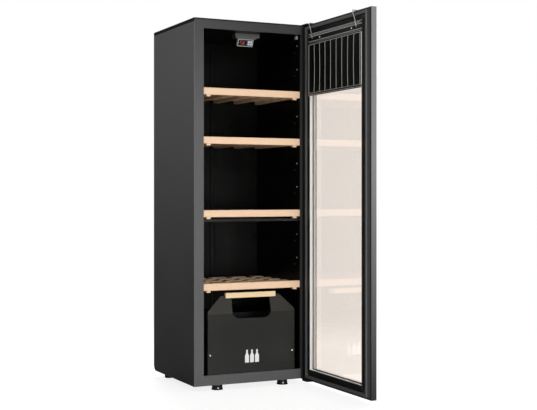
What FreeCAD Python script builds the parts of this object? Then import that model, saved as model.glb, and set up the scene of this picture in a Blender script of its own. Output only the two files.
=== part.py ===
"""Free-standing single-door wine cooler, right-hinged, modelled with its door open square to the case.

Case frame while modelling, in millimetres: x = 0 on the case's centre line with +X to the hinge side,
y = 0 on the face of the front frame with +Y to the back, z = 0 on the floor. Everything is shifted at
the end so that the origin lies under the middle of the open cooler's box.
"""
import FreeCAD, Part
import math
import os

V = FreeCAD.Vector
X_AXIS, Y_AXIS, Z_AXIS = V(1, 0, 0), V(0, 1, 0), V(0, 0, 1)

# ---- case ----
case_width = 600.0
case_height = 1730.0
case_depth = 546.0
foot_height = 26.0
wall = 48.0               # painted sheet, foam and liner together
sheet = 1.0               # painted steel
liner = 1.5               # moulded liner
cap_thickness = 7.0
cap_lip = 11.0            # how far the cap's lips reach down over the sides
frame_depth = 10.0        # front frame, front to back
rear_corner_radius = 30.0  # lower rear corner of each side panel
step_height = 257.0       # inner step over the machine compartment, above the inner floor
step_depth = 262.0        # from the front frame's face to the step's riser

# ---- shelves ----
first_ledge = 465.0       # top of the lowest ledge above the floor
ledge_spaces = 10
ledge_top_margin = 78.0   # top ledge to the inner ceiling
ledge_reach = 12.0
ledge_thick = 8.0
ledge_start = 46.0
ledge_back_gap = 28.0
shelf_ledges = (0, 3, 6, 8)
shelf_side_gap = 4.0
fascia_side_gap = 2.0
fascia_height = 33.0
fascia_thick = 20.0
fascia_front = 6.0
bottle_pitch = 113.0
bottle_radius = 38.0
slat_width = 44.0
slat_thick = 12.0
slat_count = 5
runner_height = 15.0
runner_width = 30.0
glide = 0.3               # running clearance between sliding faces
shelf_travel = 220.0

# ---- bin ----
bin_side_gap = 26.0
bin_front = 14.0
bin_sheet = 1.5
bin_back_gap = 8.0
flap_rise = 82.0
flap_lean = 20.0
flap_taper = 75.0
flap_below_ledge = 29.0
notch_width = 200.0
notch_depth = 25.0        # how far the notch cuts below the fold
grip_length = 261.0
grip_height = 25.0
grip_depth = 18.0
sign_pitch = 26.0         # printed bottle signs on the front
sign_width = 20.0
sign_height = 60.0
sign_thick = 0.4

# ---- door ----
door_thick = 46.0
door_shell = 26.0         # painted outer frame, front to back
door_border = 50.0
door_gap = 2.0            # between the door and the case's top, and over the lower hinge plate
door_drop = 6.0           # how far the door reaches below the case
trim_inset = 10.0         # finger groove: how far the inner trim stands in from the door's edge
trim_face = 5.0           # trim face to the case, door shut
trim_opening_margin = 58.0
trim_lip = 13.0           # raised lip round the window
trim_rim = 3.0            # raised rim outside the gasket
trim_channel = 12.0       # floor of the gasket's channel to the case, door shut
reveal_lining = 1.0
gasket_face = 1.5
gasket_width = 13.0
hinge_inset = 13.0
pin_offset = 3.0          # pins stand this far behind the middle of the door's outer shell
pin_radius = 4.0
pin_clearance = 0.05
bush_collar = 7.0
hinge_plate = 4.0
pane = 4.0
pane_gap = 14.0
pane_cover = 7.0          # how far the frame laps over the glass

# ---- rack on the door ----
rack_side_right = 38.0    # from the hinge axis
rack_width = 494.0
rack_drop = 294.0
rack_top_gap = 8.0
rod_radius = 1.5
rod_spaces = 9
wire_radius = 2.0
rack_lift = 14.0          # the rack's play upwards before its band meets the gasket

# ---- controls ----
lamp_depth = 44.0
controller_rim = 3.0
key_wide = 11.0
key_tall = 10.0

# ---- feet and back ----
foot_stud = 4.0
stud_clearance = 0.08
foot_x = 170.0
foot_y = 35.0
rear_foot_x = 255.0
rear_foot_y = 446.0
condenser_reach = 25.0

half = case_width / 2
inner = half - wall
floor_z = foot_height + wall - 1.0
ceiling_z = case_height - wall + 1.0
cap_z = case_height - cap_thickness
back_y = case_depth - wall
riser_y = step_depth
step_z = floor_z + step_height
ledge_pitch = (ceiling_z - ledge_top_margin - first_ledge) / ledge_spaces
shelf_half = inner - shelf_side_gap
shelf_depth = back_y - 52.0
ledge_end = back_y - ledge_back_gap
hinge_x = half - hinge_inset
hinge_forward = door_thick - door_shell / 2 - pin_offset   # pins in front of the case
door_low = foot_height - door_drop
door_high = case_height - door_gap
bin_half = inner - bin_side_gap
bin_floor = floor_z + glide
flap_top = first_ledge - flap_below_ledge
fold_z = flap_top - flap_rise
machine_top = step_z - wall + 8.0
machine_y = riser_y + wall

gasket_half = half - trim_inset - trim_rim
low_plate = door_low - door_gap - hinge_plate   # underside of the lower hinge plate
head_front = -0.8          # front of the rack's top band, door shut
hook_outer = door_thick + wire_radius + 0.5
hook_over = door_high + wire_radius + 0.4
hook_end = ceiling_z - rack_top_gap - 24.0
hook_slant = 43.0
hook_bend = 2.6
front_reach = case_width - hinge_inset + hinge_forward   # the open door's edge in front of the case
origin = V((hook_outer + wire_radius + hinge_x - hinge_forward - half) / 2,
           (case_depth + condenser_reach - front_reach) / 2, 0)


def box(x0, x1, y0, y1, z0, z1):
    return Part.makeBox(x1 - x0, y1 - y0, z1 - z0, V(x0, y0, z0))


def rod(start, end, radius):
    start, end = V(*start), V(*end)
    return Part.makeCylinder(radius, (end - start).Length, start, end - start)


def prism(points, direction):
    """Straight prism over a closed outline."""
    outline = [V(*p) for p in points]
    return Part.Face(Part.makePolygon(outline + outline[:1])).extrude(V(*direction))


def fuse(shapes):
    return shapes[0].multiFuse(shapes[1:]).removeSplitter()


def cut(shape, tools):
    return shape.cut(Part.makeCompound(tools))


def turned(profile, centre):
    """Solid of revolution about a vertical axis; profile is a list of (radius, z)."""
    points = [V(r, 0, z) for r, z in profile]
    face = Part.Face(Part.makePolygon(points + points[:1]))
    solid = face.revolve(V(0, 0, 0), Z_AXIS, 360)
    solid.translate(V(*centre))
    return solid


def softened(shape, radius, chosen):
    """Fillets the edges for which chosen(edge) is true."""
    edges = [e for e in shape.Edges if chosen(e)]
    return shape.makeFillet(radius, edges) if edges else shape


def along(axis):
    """Picks the straight edges that run along one axis."""
    def test(edge):
        if edge.Curve.TypeId != "Part::GeomLine":
            return False
        return abs(abs(edge.tangentAt(edge.FirstParameter).dot(axis)) - 1) < 1e-6
    return test


def bent_path(points, bend):
    """Straight runs joined by tangent arcs of one radius, or less where a run is too short."""
    points = [V(*p) for p in points]
    edges = []
    last = points[0]
    for before, corner, after in zip(points, points[1:], points[2:]):
        a, b = (before - corner).normalize(), (after - corner).normalize()
        turn = math.pi - a.getAngle(b)
        limit = 0.45 * min((before - corner).Length, (after - corner).Length)
        setback = min(bend * math.tan(turn / 2), limit)
        radius = setback / math.tan(turn / 2)
        start, end = corner + a * setback, corner + b * setback
        middle = corner + (a + b).normalize() * (radius / math.cos(turn / 2) - radius)
        if (start - last).Length > 1e-6:
            edges.append(Part.makeLine(last, start))
        edges.append(Part.Arc(start, middle, end).toShape())
        last = end
    edges.append(Part.makeLine(last, points[-1]))
    return Part.Wire(edges)


def tube(points, radius, bend):
    """Round bar or closed tube along a bent path."""
    path = bent_path(points, bend)
    first = V(*points[0])
    heading = (V(*points[1]) - first).normalize()
    ring = Part.Wire(Part.makeCircle(radius, first, heading))
    return path.makePipeShell([ring], True, False)


def mitred_rails(x0, x1, z0, z1, border, y0, y1, top_border=None):
    """Left, right, lower and upper rail of a frame, mitred where they meet."""
    a0, a1, c0, c1 = x0 + border, x1 - border, z0 + border, z1 - (top_border or border)
    outlines = [
        [(x0, z0), (a0, c0), (a0, c1), (x0, z1)],
        [(x1, z0), (x1, z1), (a1, c1), (a1, c0)],
        [(x0, z0), (x1, z0), (a1, c0), (a0, c0)],
        [(x0, z1), (a0, c1), (a1, c1), (x1, z1)],
    ]
    return [prism([(x, y0, z) for x, z in line], (0, y1 - y0, 0)) for line in outlines]


def hollow_rails(x0, x1, z0, z1, border, y0, y1, skin):
    """Mitred rails of closed tube."""
    outer = mitred_rails(x0, x1, z0, z1, border, y0, y1)
    inside = mitred_rails(x0 + skin, x1 - skin, z0 + skin, z1 - skin, border - 2 * skin, y0 + skin, y1 - skin)
    return [o.cut(i) for o, i in zip(outer, inside)]


def opened(shape):
    """Takes a piece of the shut door to where it is with the door open square."""
    turned_shape = shape.copy()
    turned_shape.rotate(V(hinge_x, -hinge_forward, 0), Z_AXIS, 90)
    return turned_shape


def save(name, shapes):
    """One STEP file per node; a list is a group of separate solids."""
    solids = [s for shape in shapes for s in shape.Solids]
    shape = solids[0] if len(solids) == 1 else Part.makeCompound(solids)
    shape = shape.copy()
    shape.translate(V(-origin.x, -origin.y, 0))
    print(name, len(solids), "valid" if shape.isValid() else "INVALID", round(shape.Volume / 1000))
    shape.exportStep("parts/" + name + ".step")


def save_on_door(name, shapes):
    save(name, [opened(s) for s in shapes])


def case_panels():
    for name, side in (("side_panel_left", -1), ("side_panel_right", 1)):
        outer, inside = side * half, side * (half - sheet)
        panel = box(min(outer, inside), max(outer, inside), 0, case_depth, foot_height, cap_z - cap_lip)
        lower_rear = [e for e in panel.Edges if along(X_AXIS)(e)
                      and e.BoundBox.YMin > case_depth - 1 and e.BoundBox.ZMax < foot_height + 1]
        panel = panel.makeFillet(rear_corner_radius, lower_rear)
        save(name, [panel])
    cap = box(-half, half, 0, case_depth, cap_z, case_height)
    cap = softened(cap, 2.0, lambda e: along(Z_AXIS)(e) or e.BoundBox.ZMin > case_height - 0.1)
    lips = [box(min(s * half, s * (half - sheet)), max(s * half, s * (half - sheet)), 0, case_depth,
                cap_z - cap_lip, cap_z + 2) for s in (-1, 1)]
    save("top_panel", [fuse([cap] + lips)])
    inside = half - sheet
    rear = box(-inside, inside, case_depth - sheet, case_depth, machine_top, cap_z)
    save("rear_panel", [rear])
    base = box(-inside, inside, frame_depth, case_depth - rear_corner_radius, foot_height, foot_height + 3)
    boss = [rod((s * foot_x, foot_y, foot_height + 2), (s * foot_x, foot_y, foot_height + 14), 8) for s in (-1, 1)]
    hole = [rod((s * foot_x, foot_y, 0), (s * foot_x, foot_y, foot_height + 20), foot_stud + stud_clearance)
            for s in (-1, 1)]
    save("base_plate", [cut(fuse([base] + boss), hole)])
    save("front_frame", mitred_rails(-inside, inside, foot_height, cap_z, wall - sheet, 0, frame_depth,
                                     cap_z - ceiling_z))


def liner_and_foam():
    top_of_walls = ceiling_z
    for name, side in (("liner_wall_left", -1), ("liner_wall_right", 1)):
        x_face, x_back, x_tip = side * inner, side * (inner + liner), side * (inner - ledge_reach)
        wall_plate = box(min(x_face, x_back), max(x_face, x_back), frame_depth, back_y, floor_z, top_of_walls)
        ledges = []
        for k in range(ledge_spaces + 1):
            top = first_ledge + k * ledge_pitch
            ledge = box(min(x_face, x_tip), max(x_face, x_tip), ledge_start, ledge_end, top - ledge_thick, top)
            ledge = softened(ledge, 3.0, lambda e: along(Z_AXIS)(e) and abs(e.BoundBox.XMin - x_tip) < 0.1)
            ledges.append(ledge)
        save(name, [wall_plate] + ledges)
    save("liner_back", [box(-inner, inner, back_y - liner, back_y, step_z, ceiling_z)])
    save("liner_ceiling", [box(-inner - liner, inner + liner, frame_depth, back_y, ceiling_z, ceiling_z + liner)])
    save("liner_floor", [
        box(-inner, inner, frame_depth, riser_y + liner, floor_z - liner, floor_z),
        box(-inner, inner, riser_y, riser_y + liner, floor_z, step_z - liner),
        box(-inner, inner, riser_y, back_y, step_z - liner, step_z),
    ])
    foam_out, foam_in = half - sheet, inner + liner
    rear = case_depth - sheet
    foam_low = foot_height + 15
    slabs = [
        box(-foam_out, -foam_in, frame_depth, rear - rear_corner_radius, foam_low, cap_z),
        box(foam_in, foam_out, frame_depth, rear - rear_corner_radius, foam_low, cap_z),
        box(-foam_in, foam_in, frame_depth, rear, ceiling_z + liner, cap_z),
        box(-foam_in, foam_in, back_y + 3, rear, machine_top, ceiling_z + liner),
        box(-foam_in, foam_in, frame_depth, machine_y, foam_low, floor_z - liner),
        box(-inner, inner, riser_y + liner, machine_y, floor_z - liner, step_z - liner),
        box(-inner, inner, machine_y, back_y + 3, machine_top, step_z - liner),
    ]
    save("foam_insulation", slabs)
    save("evaporator_plate", [box(-200, 200, back_y + 0.5, back_y + 2.5, step_z + 120, ceiling_z - 180)])
    duct = box(-11, 11, back_y - liner - 9, back_y - liner, step_z + 6, ceiling_z - 20)
    save("air_duct", [softened(duct, 4.0, lambda e: along(Z_AXIS)(e) and e.BoundBox.YMax < back_y - liner - 5)])
    studs = []
    for side in (-1, 1):
        for k in range(ledge_spaces + 1):
            z = first_ledge + k * ledge_pitch + 28
            head = Part.makeCone(4.5, 3.0, 1.8, V(side * inner, 40, z), V(-side, 0, 0))
            studs.append(head)
    tray_z = tray_level()
    for side in (-1, 1):
        studs.append(box(min(side * inner, side * (inner - 9)), max(side * inner, side * (inner - 9)),
                         ledge_start, ledge_end, tray_z - glide - 2.2, tray_z - glide))
    save("wall_fittings", studs)


def shelf_level(number):
    return first_ledge + shelf_ledges[number] * ledge_pitch


def tray_level():
    """Underside of the pull-out tray's sheet, under the second shelf."""
    return shelf_level(1) - ledge_thick - 4.0


def shelves():
    for number in range(len(shelf_ledges)):
        base = shelf_level(number)
        fascia_half = inner - fascia_side_gap
        front = box(-fascia_half, fascia_half, fascia_front, fascia_front + fascia_thick, base, base + fascia_height)
        front = softened(front, 3.0, lambda e: along(X_AXIS)(e) and e.BoundBox.YMax < fascia_front + 1)
        blocks = [box(min(s * (shelf_half - 14), s * (shelf_half - 34)), max(s * (shelf_half - 14), s * (shelf_half - 34)),
                      fascia_front + 2, fascia_front + fascia_thick, base - ledge_thick, base) for s in (-1, 1)]
        save("shelf_%d_front" % (number + 1), [front] + blocks)
        y0, y1 = fascia_front + fascia_thick, fascia_front + shelf_depth
        low = base + glide
        pieces = []
        for side in (-1, 1):
            x_out, x_in = side * shelf_half, side * (shelf_half - runner_width)
            pieces.append(box(min(x_out, x_in), max(x_out, x_in), y0, y1, low, low + runner_height))
        for column in (-1, 0, 1):
            x = column * bottle_pitch
            pieces.append(box(x - 14, x + 14, y0, y1, low, low + runner_height))
        spacing = (y1 - y0 - slat_width) / (slat_count - 1)
        cradles = [rod(((k - 1.5) * bottle_pitch, y0 - 1, low + runner_height + slat_thick + bottle_radius - 6),
                       ((k - 1.5) * bottle_pitch, y1 + 1, low + runner_height + slat_thick + bottle_radius - 6),
                       bottle_radius) for k in range(4)]
        for k in range(slat_count):
            y = y0 + k * spacing
            slat = box(-shelf_half, shelf_half, y, y + slat_width, low + runner_height,
                       low + runner_height + slat_thick)
            pieces.append(cut(slat, cradles))
        save("shelf_%d_deck" % (number + 1), pieces)


def pull_out_tray():
    z = tray_level()
    edge = inner - 1.5
    depth_end = ledge_end - 40
    plate = box(-edge, edge, fascia_front + 4, depth_end, z, z + 2)
    lip = box(-edge, edge, fascia_front + 4, fascia_front + 6, z - 9, z + 1)
    save("tray", [fuse([plate, lip])])


def bottle_bin():
    back = riser_y - bin_back_gap
    side_top = fold_z - 24
    taper_start = fold_z + 12
    panel = box(-bin_half, bin_half, bin_front, bin_front + bin_sheet, bin_floor, fold_z)
    lean = flap_lean / flap_rise
    flap_side = [(bin_front, fold_z), (bin_front + flap_lean, flap_top),
                 (bin_front + flap_lean + bin_sheet, flap_top), (bin_front + bin_sheet, fold_z)]
    flap = prism([(-bin_half, y, z) for y, z in flap_side], (2 * bin_half, 0, 0))
    taper = [(-bin_half, fold_z - 5), (bin_half, fold_z - 5), (bin_half, taper_start),
             (bin_half - flap_taper, flap_top + 1), (-bin_half + flap_taper, flap_top + 1), (-bin_half, taper_start)]
    window = prism([(x, bin_front - 5, z) for x, z in taper], (0, 60, 0))
    window = softened(window, 18.0, lambda e: along(Y_AXIS)(e) and abs(e.BoundBox.ZMax - taper_start) < 0.1)
    flap = flap.common(window)
    notch = box(-notch_width / 2, notch_width / 2, bin_front - 5, bin_front + 50, fold_z - notch_depth, flap_top + 20)
    notch = softened(notch, 34.0, lambda e: along(Y_AXIS)(e) and e.BoundBox.ZMax < fold_z)
    sides = [box(min(s * bin_half, s * (bin_half - bin_sheet)), max(s * bin_half, s * (bin_half - bin_sheet)),
                 bin_front + bin_sheet, back, bin_floor, side_top) for s in (-1, 1)]
    bottom = box(-bin_half, bin_half, bin_front + bin_sheet, back, bin_floor, bin_floor + bin_sheet)
    rear = box(-bin_half, bin_half, back - bin_sheet, back, bin_floor, side_top)
    screw_z = floor_z + 90
    holes = [rod((s * (bin_half - 12), bin_front - 5, screw_z), (s * (bin_half - 12), bin_front + 20, screw_z), 2.5)
             for s in (-1, 1)]
    body = cut(fuse([panel, flap, bottom, rear] + sides), [notch] + holes)
    save("bin_body", [body])

    grip = box(-grip_length / 2, grip_length / 2, bin_front + 12, bin_front + 12 + grip_depth,
               flap_top - 11, flap_top - 11 + grip_height)
    grip = softened(grip, 2.5, along(Y_AXIS))
    grip = softened(grip, 2.0, along(X_AXIS))
    slot_side = [(bin_front + (flap_top - 30 - fold_z) * lean - 0.1, flap_top - 30),
                 (bin_front + flap_lean - 0.1, flap_top),
                 (bin_front + flap_lean + bin_sheet + 0.1, flap_top),
                 (bin_front + (flap_top - 30 - fold_z) * lean + bin_sheet + 0.1, flap_top - 30)]
    slot = prism([(-half, y, z) for y, z in slot_side], (2 * half, 0, 0))
    save("bin_grip", [grip.cut(slot)])

    screws = []
    for s in (-1, 1):
        x = s * (bin_half - 12)
        screws.append(fuse([rod((x, bin_front - 2.2, screw_z), (x, bin_front, screw_z), 5.0),
                            rod((x, bin_front - 1, screw_z), (x, bin_front + 9, screw_z), 2.4)]))
    save("bin_screws", screws)
    save("bin_icon", [bottle_sign(x, screw_z - 44) for x in (-sign_pitch, 0, sign_pitch)])


def bottle_sign(x, base):
    """Plain bottle outline, a thin raised print on the bin's front."""
    side = [(sign_width / 2, base), (sign_width / 2, base + 0.55 * sign_height),
            (sign_width / 5, base + 0.74 * sign_height), (sign_width / 5, base + sign_height)]
    outline = [(x + dx, bin_front - sign_thick, z) for dx, z in side]
    outline += [(x - dx, bin_front - sign_thick, z) for dx, z in reversed(side)]
    return prism(outline, (0, sign_thick, 0))


def controls():
    y0 = 80.0
    plate_low = ceiling_z - 25
    lamp = box(-56, 72, y0, y0 + lamp_depth, plate_low + 7, ceiling_z)
    lamp = softened(lamp, 3.0, lambda e: along(Z_AXIS)(e) and e.BoundBox.YMax < y0 + 1)
    cover = box(-50, 55, y0 + 1, y0 + lamp_depth - 6, plate_low, plate_low + 8)
    save("lamp_housing", [fuse([lamp, softened(cover, 3.0, along(Z_AXIS))])])
    width, tall, thick, tilt = 80.0, 36.0, 16.0, 25.0
    block = box(-width / 2, width / 2, 0, thick, -tall, 0)
    block = softened(block, 3.0, lambda e: along(Y_AXIS)(e))
    face = [-width / 2 + controller_rim, width / 2 - controller_rim, -tall + controller_rim, -controller_rim]
    window_cut = box(face[0] - 0.2, face[1] + 0.2, -1, 2.0, face[2] - 0.2, face[3] + 0.2)
    key_places = [(17, -12), (29.5, -12), (17, -24), (29.5, -24)]
    key_cuts = [box(x - key_wide / 2 - 0.4, x + key_wide / 2 + 0.4, -1, 6.0,
                    z - key_tall / 2 - 0.4, z + key_tall / 2 + 0.4) for x, z in key_places]
    bezel = cut(block, [window_cut] + key_cuts)
    window = cut(box(face[0], face[1], 0.6, 1.8, face[2], face[3]), key_cuts)
    digit = [segment_digit("bc", -26), segment_digit("abged", -10)]
    keys = [softened(box(x - key_wide / 2, x + key_wide / 2, -1.0, 3.6, z - key_tall / 2, z + key_tall / 2),
                     1.2, along(Y_AXIS)) for x, z in key_places]

    def placed(shape):
        result = shape.copy()
        result.rotate(V(0, 0, 0), X_AXIS, tilt)
        result.translate(V(0, y0 + 2, plate_low - 2))
        return result

    body = placed(bezel).cut(box(-width, width, 0, y0 + 200, plate_low, ceiling_z))
    hanger = box(-30, 30, y0 + 8, y0 + 20, plate_low - 18, plate_low)
    hanger = hanger.cut(placed(box(-width / 2, width / 2, 0, thick, -tall, 0)))
    solids = sorted(hanger.Solids, key=lambda s: -s.BoundBox.ZMax)
    save("controller_housing", [fuse([body, solids[0]])])
    save("display_window", [placed(window)])
    save("display_digits", [placed(d) for group in digit for d in group])
    for name, key in zip(("key_light", "key_up", "key_set", "key_down"), keys):
        save(name, [placed(key)])
    switch_y, switch_z = 44.0, ceiling_z - 10
    plate = box(inner - 5, inner, switch_y - 10, switch_y + 10, switch_z - 8, switch_z + 8)
    pocket = box(inner - 6, inner - 1, switch_y - 7.2, switch_y + 7.2, switch_z - 5, switch_z + 5)
    pivot = [(inner - 3.5, switch_y, switch_z - 6.5), (inner - 3.5, switch_y, switch_z + 6.5)]
    save("light_switch_housing", [cut(plate, [pocket, rod(*pivot, 0.95)])])
    outline = [(5.0, -6.0), (7.4, 6.0), (3.6, 6.0), (2.6, 0.0), (2.6, -4.0)]
    rocker = prism([(inner - depth, switch_y + y, switch_z - 4.7) for depth, y in outline], (0, 0, 9.4))
    save("light_switch_rocker", [fuse([rocker, rod(*pivot, 0.9)])])


def segment_digit(lit, x):
    """Bars of one seven-segment figure on the tilted display, 12 mm tall, centred on x."""
    w, t, mid, tall = 7.0, 1.5, -18.5, 6.0
    bars = {
        "a": (x - w / 2 + t, x + w / 2 - t, mid + tall - t, mid + tall),
        "g": (x - w / 2 + t, x + w / 2 - t, mid - t / 2, mid + t / 2),
        "d": (x - w / 2 + t, x + w / 2 - t, mid - tall, mid - tall + t),
        "b": (x + w / 2 - t, x + w / 2, mid + t, mid + tall),
        "c": (x + w / 2 - t, x + w / 2, mid - tall, mid - t),
        "e": (x - w / 2, x - w / 2 + t, mid - tall, mid - t),
    }
    return [box(bars[s][0], bars[s][1], 0.3, 0.6, bars[s][2], bars[s][3]) for s in lit]


def hinges():
    def plate(z0, z1, pin_z):
        x0, x1 = hinge_x - 25, half
        slab = box(x0, x1, -hinge_forward - 16, 0, z0, z1)
        slab = softened(slab, 8.0, lambda e: along(Z_AXIS)(e) and e.BoundBox.YMax < -hinge_forward)
        pin = rod((hinge_x, -hinge_forward, min(pin_z, z0)), (hinge_x, -hinge_forward, max(pin_z, z1)), pin_radius)
        return slab, pin
    low_slab, low_pin = plate(low_plate, low_plate + hinge_plate, door_low + 18)
    step = box(hinge_x - 25, half, 0, hinge_plate, low_plate, foot_height)
    tongue = box(hinge_x - 25, half, 0, 70, foot_height - hinge_plate, foot_height)
    lower = fuse([low_slab, step, tongue, low_pin])
    high_slab, high_pin = plate(case_height, case_height + hinge_plate - 1, door_high - 18)
    tongue = box(hinge_x - 25, half, -0.01, 70, case_height, case_height + hinge_plate - 1)
    upper = fuse([high_slab, tongue, high_pin])
    save("hinge_plates", [lower, upper])
    screws = []
    for y in (22.0, 52.0):
        for x in (hinge_x - 14, hinge_x + 2):
            screws.append(rod((x, y, case_height + hinge_plate - 1), (x, y, case_height + hinge_plate + 1), 4.5))
            screws.append(rod((x, y, foot_height - hinge_plate - 2), (x, y, foot_height - hinge_plate), 4.5))
    for z in (machine_top + 20, (machine_top + cap_z) / 2, cap_z - 20):
        for x in (-half + 18, 0, half - 18):
            screws.append(rod((x, case_depth, z), (x, case_depth + 2, z), 4.5))
    save("case_screws", screws)


def door():
    x0, x1 = -half, half
    front = -door_thick
    shell_back = front + door_shell
    rails = hollow_rails(x0, x1, door_low, door_high, door_border, front, shell_back, 1.5)
    lips = mitred_rails(x0 + door_border - 1, x1 - door_border + 1, door_low + door_border - 1,
                        door_high - door_border + 1, trim_opening_margin - door_border + 1, front, front + 3)
    rails = [fuse([r, l]) for r, l in zip(rails, lips)]
    bores = [rod((hinge_x, -hinge_forward, z - 4), (hinge_x, -hinge_forward, z + 4), bush_collar)
             for z in (door_low, door_high)]
    save_on_door("door_frame", [cut(r, bores) for r in rails])
    bushes = []
    for z0, z1, collar0, collar1 in ((door_low + 1.5, door_low + 21.5, door_low, door_low + 2),
                                     (door_high - 21.5, door_high - 1.5, door_high - 2, door_high)):
        block = box(hinge_x - 11, hinge_x + 11, front + 1.5, shell_back - 1.5, z0, z1)
        collar = rod((hinge_x, -hinge_forward, collar0), (hinge_x, -hinge_forward, collar1), bush_collar)
        bore = rod((hinge_x, -hinge_forward, z0 - 5), (hinge_x, -hinge_forward, z1 + 5), pin_radius + pin_clearance)
        bushes.append(fuse([block, collar]).cut(bore))
    save_on_door("hinge_bushes", bushes)

    glass_x = half - trim_opening_margin + pane_cover
    glass_z0, glass_z1 = door_low + trim_opening_margin - pane_cover, door_high - trim_opening_margin + pane_cover
    outer_y = front + 4
    panes = [box(-glass_x, glass_x, outer_y, outer_y + pane, glass_z0, glass_z1),
             box(-glass_x, glass_x, outer_y + pane + pane_gap, outer_y + 2 * pane + pane_gap, glass_z0, glass_z1)]
    save_on_door("door_glass", panes)
    spacer = mitred_rails(-glass_x + 1, glass_x - 1, glass_z0 + 1, glass_z1 - 1, 12, outer_y + pane,
                          outer_y + pane + pane_gap)
    opening_x = half - trim_opening_margin
    opening_z0, opening_z1 = door_low + trim_opening_margin, door_high - trim_opening_margin
    lining = mitred_rails(-opening_x, opening_x, opening_z0, opening_z1, reveal_lining, shell_back, -trim_face - 0.5)
    save_on_door("glass_spacer", spacer + lining)

    trim_x = half - trim_inset
    trim_z0, trim_z1 = door_low + trim_inset, door_high - trim_inset
    border = trim_opening_margin - trim_inset
    base = mitred_rails(-trim_x, trim_x, trim_z0, trim_z1, border, shell_back, -trim_channel)
    rim = mitred_rails(-trim_x, trim_x, trim_z0, trim_z1, trim_rim, shell_back, -trim_face - 1.5)
    inward = border - trim_lip
    lip = mitred_rails(-trim_x + inward, trim_x - inward, trim_z0 + inward, trim_z1 - inward, trim_lip, shell_back,
                       -trim_face)
    bead = mitred_rails(-trim_x + inward - 6, trim_x - inward + 6, trim_z0 + inward - 6, trim_z1 - inward + 6, 3,
                        shell_back, -trim_channel + 2)
    save_on_door("door_trim", [fuse(list(parts)) for parts in zip(base, rim, lip, bead)])

    gasket_in = half - gasket_half
    seal = mitred_rails(-gasket_half, gasket_half, door_low + gasket_in, door_high - gasket_in, gasket_width,
                        -trim_channel, -gasket_face - 1.2)
    lip = mitred_rails(-gasket_half + 3, gasket_half - 3, door_low + gasket_in + 3, door_high - gasket_in - 3,
                       gasket_width - 6, -trim_channel, -gasket_face)
    notches = [box(left, right, -trim_face - 1.6, 2, low, high) for left, right, low, high in gasket_notches()]
    save_on_door("door_gasket", [cut(fuse([s, l]), notches) for s, l in zip(seal, lip)])


def hook_tops():
    """Where the two hook wires cross the door's top edge, with the door shut."""
    right = hinge_x - rack_side_right - wire_radius
    return (right, right - 411.0)


def hook_point(x_top, z, y):
    """A point of a hook's slanting wire, which runs from the rack's strip up to the door's top edge."""
    share = (hook_over - z) / (hook_over - hook_end)
    return (x_top - hook_slant * share, y, z)


def gasket_notches():
    """Gaps in the gasket's upper run that let the two wires cross it and rise: left, right, low, high."""
    middle = door_high - (half - gasket_half) - gasket_width / 2
    lifted = rack_lift * hook_slant / (hook_over - hook_end)
    gaps = []
    for x in hook_tops():
        crossing = hook_point(x, middle, 0)[0]
        gaps.append((crossing - lifted - 8, crossing + 8, middle - gasket_width, middle + gasket_width))
    return gaps


def rack_top():
    return ceiling_z - rack_top_gap


def door_rack():
    right = hinge_x - rack_side_right
    left = right - rack_width
    top = rack_top()
    low = top - rack_drop
    back, front = -trim_face + 0.4, 2.0
    band_low = top - 52.0

    rails = []
    head = box(left, right, back, head_front, top - 15, top)
    slots = [box(left + 6 + 8 * k, left + 10 + 8 * k, back - 1, front + 1, top - 12, top - 3)
             for k in range(int((rack_width - 12) / 8))]
    rails.append(cut(head, slots))
    rails.append(box(left, right, back, -1.0, top - 35, top - 15))
    band = box(left, right, back, -2.6, band_low, top - 35)
    holes = [rod((left + 8 + 9 * k, back - 1, top - 43), (left + 8 + 9 * k, 0, top - 43), 2.6)
             for k in range(int((rack_width - 12) / 9))]
    rails.append(cut(band, holes))
    rails.append(box(left, right, back, front - 1.0, low, low + 5.5))
    rails.append(box(left, right, back, front, low + 8.5, low + 14))
    rails.append(box(left + 4, right - 4, back, back + 1.5, low + 5.5, low + 8.5))
    save_on_door("rack_rails", rails)

    flute = 13.0
    count = int((rack_width - 4) / flute)
    margin = (rack_width - count * flute) / 2
    outline = [(left + margin, back)]
    for k in range(count):
        x = left + margin + k * flute
        outline += [(x + flute * 0.25, back + 0.9), (x + flute * 0.75, back + 0.9), (x + flute, back)]
    thick = [(x, y + 0.7) for x, y in reversed(outline)]
    sheet_piece = prism([(x, y, low + 14) for x, y in outline + thick], (0, 0, band_low - low - 14))
    save_on_door("rack_sheet", [sheet_piece])

    rods = []
    spacing = (rack_width - 16) / rod_spaces
    rod_y = 0.3
    for k in range(rod_spaces + 1):
        x = left + 8 + k * spacing
        bow = 0.0 if k in (0, rod_spaces) else 5.0 * (1 - 2 * k / rod_spaces)
        rods.append(bowed_rod(x, rod_y, low + 14, band_low, bow))
    save_on_door("rack_rods", rods)

    screws = [fuse([rod((x, -1.0, top - 25), (x, 0.6, top - 25), 4.0)]) for x in (right - 114, right - 410)]
    save_on_door("rack_screws", screws)

    behind = -trim_face + wire_radius + 0.3
    over_band = head_front + wire_radius + 0.3
    hooks = []
    for x in hook_tops():
        hooks.append(tube([hook_point(x, hook_end, over_band), hook_point(x, top, over_band),
                           hook_point(x, top + 5.5, behind), (x, behind, hook_over), (x, -hook_outer, hook_over),
                           (x, -hook_outer, hook_over - rack_lift + 1)], wire_radius, hook_bend))
    save_on_door("rack_hooks", hooks)


def bowed_rod(x, y, z0, z1, bow):
    if bow == 0.0:
        return rod((x, y, z0), (x, y, z1), rod_radius)
    arc = Part.Arc(V(x, y, z0), V(x + bow, y, (z0 + z1) / 2), V(x, y, z1)).toShape()
    ring = Part.Wire(Part.makeCircle(rod_radius, V(x, y, z0), arc.tangentAt(arc.FirstParameter)))
    bar = Part.Wire([arc]).makePipeShell([ring], True, False)
    return bar.common(box(x - 30, x + 30, y - 5, y + 5, z0, z1))


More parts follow.
